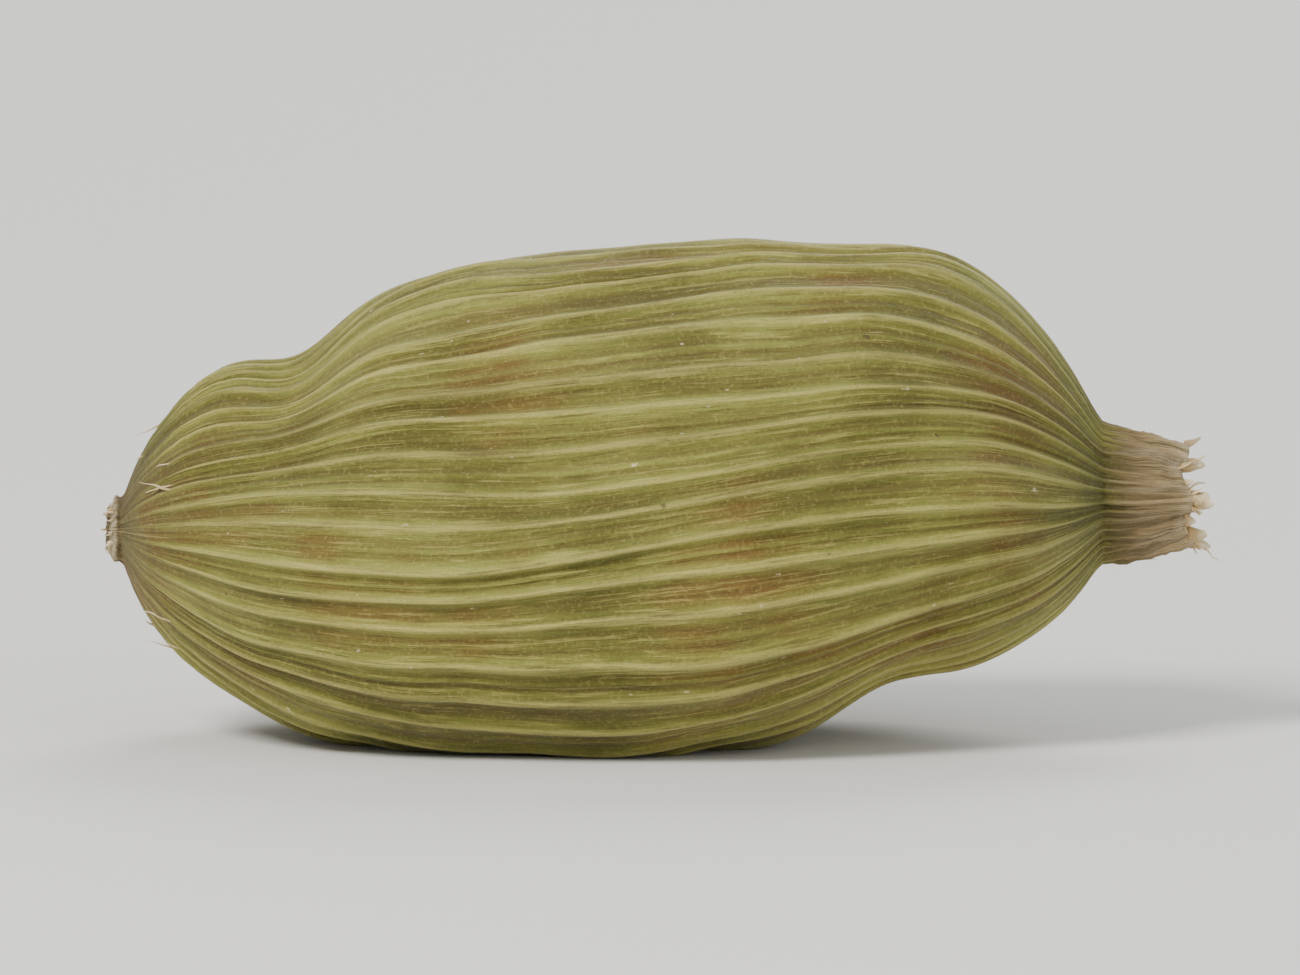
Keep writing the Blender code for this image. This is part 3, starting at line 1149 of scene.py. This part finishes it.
def fibre_material():
    material, shader = new_material("dry_fibre")
    tree = material.node_tree
    place = object_place(tree)
    mottle = noise(place, 1.0 / FIBRE_MOTTLE_SIZE, detail=3.0, roughness=0.6)
    to_tip = attribute(tree, "along") + (mottle - 0.5) * FIBRE_MOTTLE_PULL
    feed(tree, shader.inputs["Base Color"], laid_over(TAN, PALE, to_tip, ROOT_TO_TIP_SPAN, PALE_TIP))
    feed(tree, shader.inputs["Roughness"], between(*FIBRE_ROUGHNESS, mottle))
    set_inputs(shader, FIBRE_SHADER)
    bumps(shader, noise(place, 1.0 / GRAIN_SIZE), FIBRE_RELIEF)
    return material


DRY_FIBRE = fibre_material()
print("made", DRY_FIBRE.name, "of", len(DRY_FIBRE.node_tree.nodes), "nodes")

# %% [markdown]
# ## Planting the shreds, threads and fibres
#
# Five plantings share the tree. Shreds are short and broad, threads longer and narrow, and both start
# at the last row of the torn rim. The fibres at the scar are the shortest. Loose fibres stand only on
# crests, near either end, and hug the husk. Each planting has its own seed, so it comes out the same
# every time.

# %% Shreds, threads and fibres
STRANDS = {
    "beak_shreds": {
        "From": 0.9999, "To": 1.1, "Least Ridge": -1.0, "Part Planted": 0.045, "Forward": 1.0,
        "Least Lean": 0.45, "Most Lean": 1.20, "Least Length": 0.10 * MM, "Most Length": 0.36 * MM,
        "Width": 0.24 * MM, "Thickness": 0.018 * MM, "Curl": 0.07 * MM, "Bluntness": 2.6,
        "Bend": 0.24 * MM, "Seed": 11,
    },
    "beak_threads": {
        "From": 0.9999, "To": 1.1, "Least Ridge": -1.0, "Part Planted": 0.016, "Forward": 1.0,
        "Least Lean": 0.90, "Most Lean": 2.00, "Least Length": 0.25 * MM, "Most Length": 0.62 * MM,
        "Width": 0.075 * MM, "Thickness": 0.040 * MM, "Curl": 0.14 * MM, "Bluntness": 2.2,
        "Bend": 0.30 * MM, "Seed": 23,
    },
    "scar_fibres": {
        "From": -0.1, "To": 0.0001, "Least Ridge": -1.0, "Part Planted": 0.050, "Forward": -1.0,
        "Least Lean": 0.70, "Most Lean": 2.20, "Least Length": 0.03 * MM, "Most Length": 0.13 * MM,
        "Width": 0.08 * MM, "Thickness": 0.03 * MM, "Curl": 0.03 * MM, "Bluntness": 2.5,
        "Bend": 0.10 * MM, "Seed": 37,
    },
    "loose_fibres_scar_end": {
        "From": 0.012, "To": 0.080, "Least Ridge": 0.25, "Part Planted": 0.006, "Forward": -1.0,
        "Least Lean": 0.04, "Most Lean": 0.30, "Least Length": 0.20 * MM, "Most Length": 0.80 * MM,
        "Width": 0.038 * MM, "Thickness": 0.024 * MM, "Curl": 0.04 * MM, "Bluntness": 1.6,
        "Bend": 0.14 * MM, "Seed": 41,
    },
    "loose_fibres_beak_end": {
        "From": 0.90, "To": 0.975, "Least Ridge": 0.10, "Part Planted": 0.003, "Forward": 1.0,
        "Least Lean": 0.04, "Most Lean": 0.30, "Least Length": 0.25 * MM, "Most Length": 0.80 * MM,
        "Width": 0.038 * MM, "Thickness": 0.024 * MM, "Curl": 0.04 * MM, "Bluntness": 1.6,
        "Bend": 0.14 * MM, "Seed": 53,
    },
}
for name, sizes in STRANDS.items():
    strands = grow(name, strand_tree(sizes), sizes, DRY_FIBRE, husk.data)
    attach(strands, "root")

# %% [markdown]
# ## The floor
#
# The pod lies on a plain pale floor. One wide square is enough, because its edges lie far outside
# the picture. It sits a hair below the husk, so that the two don't share a plane, and it isn't part of
# the pod, so it doesn't move with the pod's body.

# %% Floor
FLOOR_SIZE = 1.2
FLOOR_DROP = 0.01 * MM
PAPER = {"Base Color": seen(226, 224, 219), "Roughness": 0.85}


def floor_material():
    material, shader = new_material("pale_paper")
    set_inputs(shader, PAPER)
    return material


floor_mesh = bpy.data.meshes.new("floor")
half = 0.5 * FLOOR_SIZE
corners = [(-half, -half), (half, -half), (half, half), (-half, half)]
floor_mesh.from_pydata([(x, y, low.z - FLOOR_DROP) for x, y in corners], [], [(0, 1, 2, 3)])
floor_mesh.materials.append(floor_material())
floor = bpy.data.objects.new("floor", floor_mesh)
bpy.context.scene.collection.objects.link(floor)
print("floor:", FLOOR_SIZE, "m across")

# %% [markdown]
# ## The lights
#
# Low relief shows best in light that grazes it. So one large soft light stands high on the left, a
# weak one on the right opens the shadows, a third from behind draws the upper edge, and a pale room
# fills in the rest. Their places and sizes are given in pod lengths.

# %% Lights
centre = 0.5 * (low + high)
LIGHTS = {
    "key": {"place": (-7.0, -8.0, 10.0), "size": 4.5, "power": 0.66, "colour": (1.0, 0.985, 0.96)},
    "fill": {"place": (10.0, -8.0, 5.0), "size": 9.0, "power": 0.14, "colour": (0.95, 0.975, 1.0)},
    "rim": {"place": (3.0, 10.0, 9.0), "size": 6.0, "power": 0.26, "colour": (1.0, 1.0, 1.0)},
}
ROOM = {"Color": (0.92, 0.95, 1.0, 1.0), "Strength": 0.58}


def soft_light(name, place, size, power, colour):
    """Square light at a place given in pod lengths, pointed at the pod."""
    data = bpy.data.lights.new(name, "AREA")
    data.size = size * POD_LENGTH
    data.energy = power
    data.color = colour
    light = bpy.data.objects.new(name, data)
    light.location = centre + Vector(place) * POD_LENGTH
    light.rotation_euler = (centre - light.location).to_track_quat("-Z", "Y").to_euler()
    bpy.context.scene.collection.objects.link(light)


for name, setting in LIGHTS.items():
    soft_light(name, **setting)
world = bpy.data.worlds.new("pale_room")
world.use_nodes = True
set_inputs(world.node_tree.nodes["Background"], ROOM)
bpy.context.scene.world = world
print("lights:", ", ".join(LIGHTS), "and a pale room")

# %% [markdown]
# ## The camera
#
# The camera looks along the pod's side from seven degrees above the floor, as in the photograph,
# through a long lens, because a small thing seen from far off shows hardly any perspective. The lens
# is worked out from how much of the picture's width the pod should fill.

# %% Camera
CAMERA_ELEVATION = math.radians(7.0)
CAMERA_DISTANCE = 0.35
POD_SHARE_OF_PICTURE = 0.84
SENSOR = 0.036
camera_data = bpy.data.cameras.new("camera")
camera_data.sensor_width = SENSOR / MM
camera_data.lens = SENSOR * CAMERA_DISTANCE * POD_SHARE_OF_PICTURE / POD_LENGTH / MM
camera = bpy.data.objects.new("camera", camera_data)
back = Vector((0.0, -math.cos(CAMERA_ELEVATION), math.sin(CAMERA_ELEVATION)))
camera.location = centre + back * CAMERA_DISTANCE
camera.rotation_euler = (-back).to_track_quat("-Z", "Y").to_euler()
bpy.context.scene.collection.objects.link(camera)
bpy.context.scene.camera = camera
print("lens:", round(camera_data.lens), "mm")
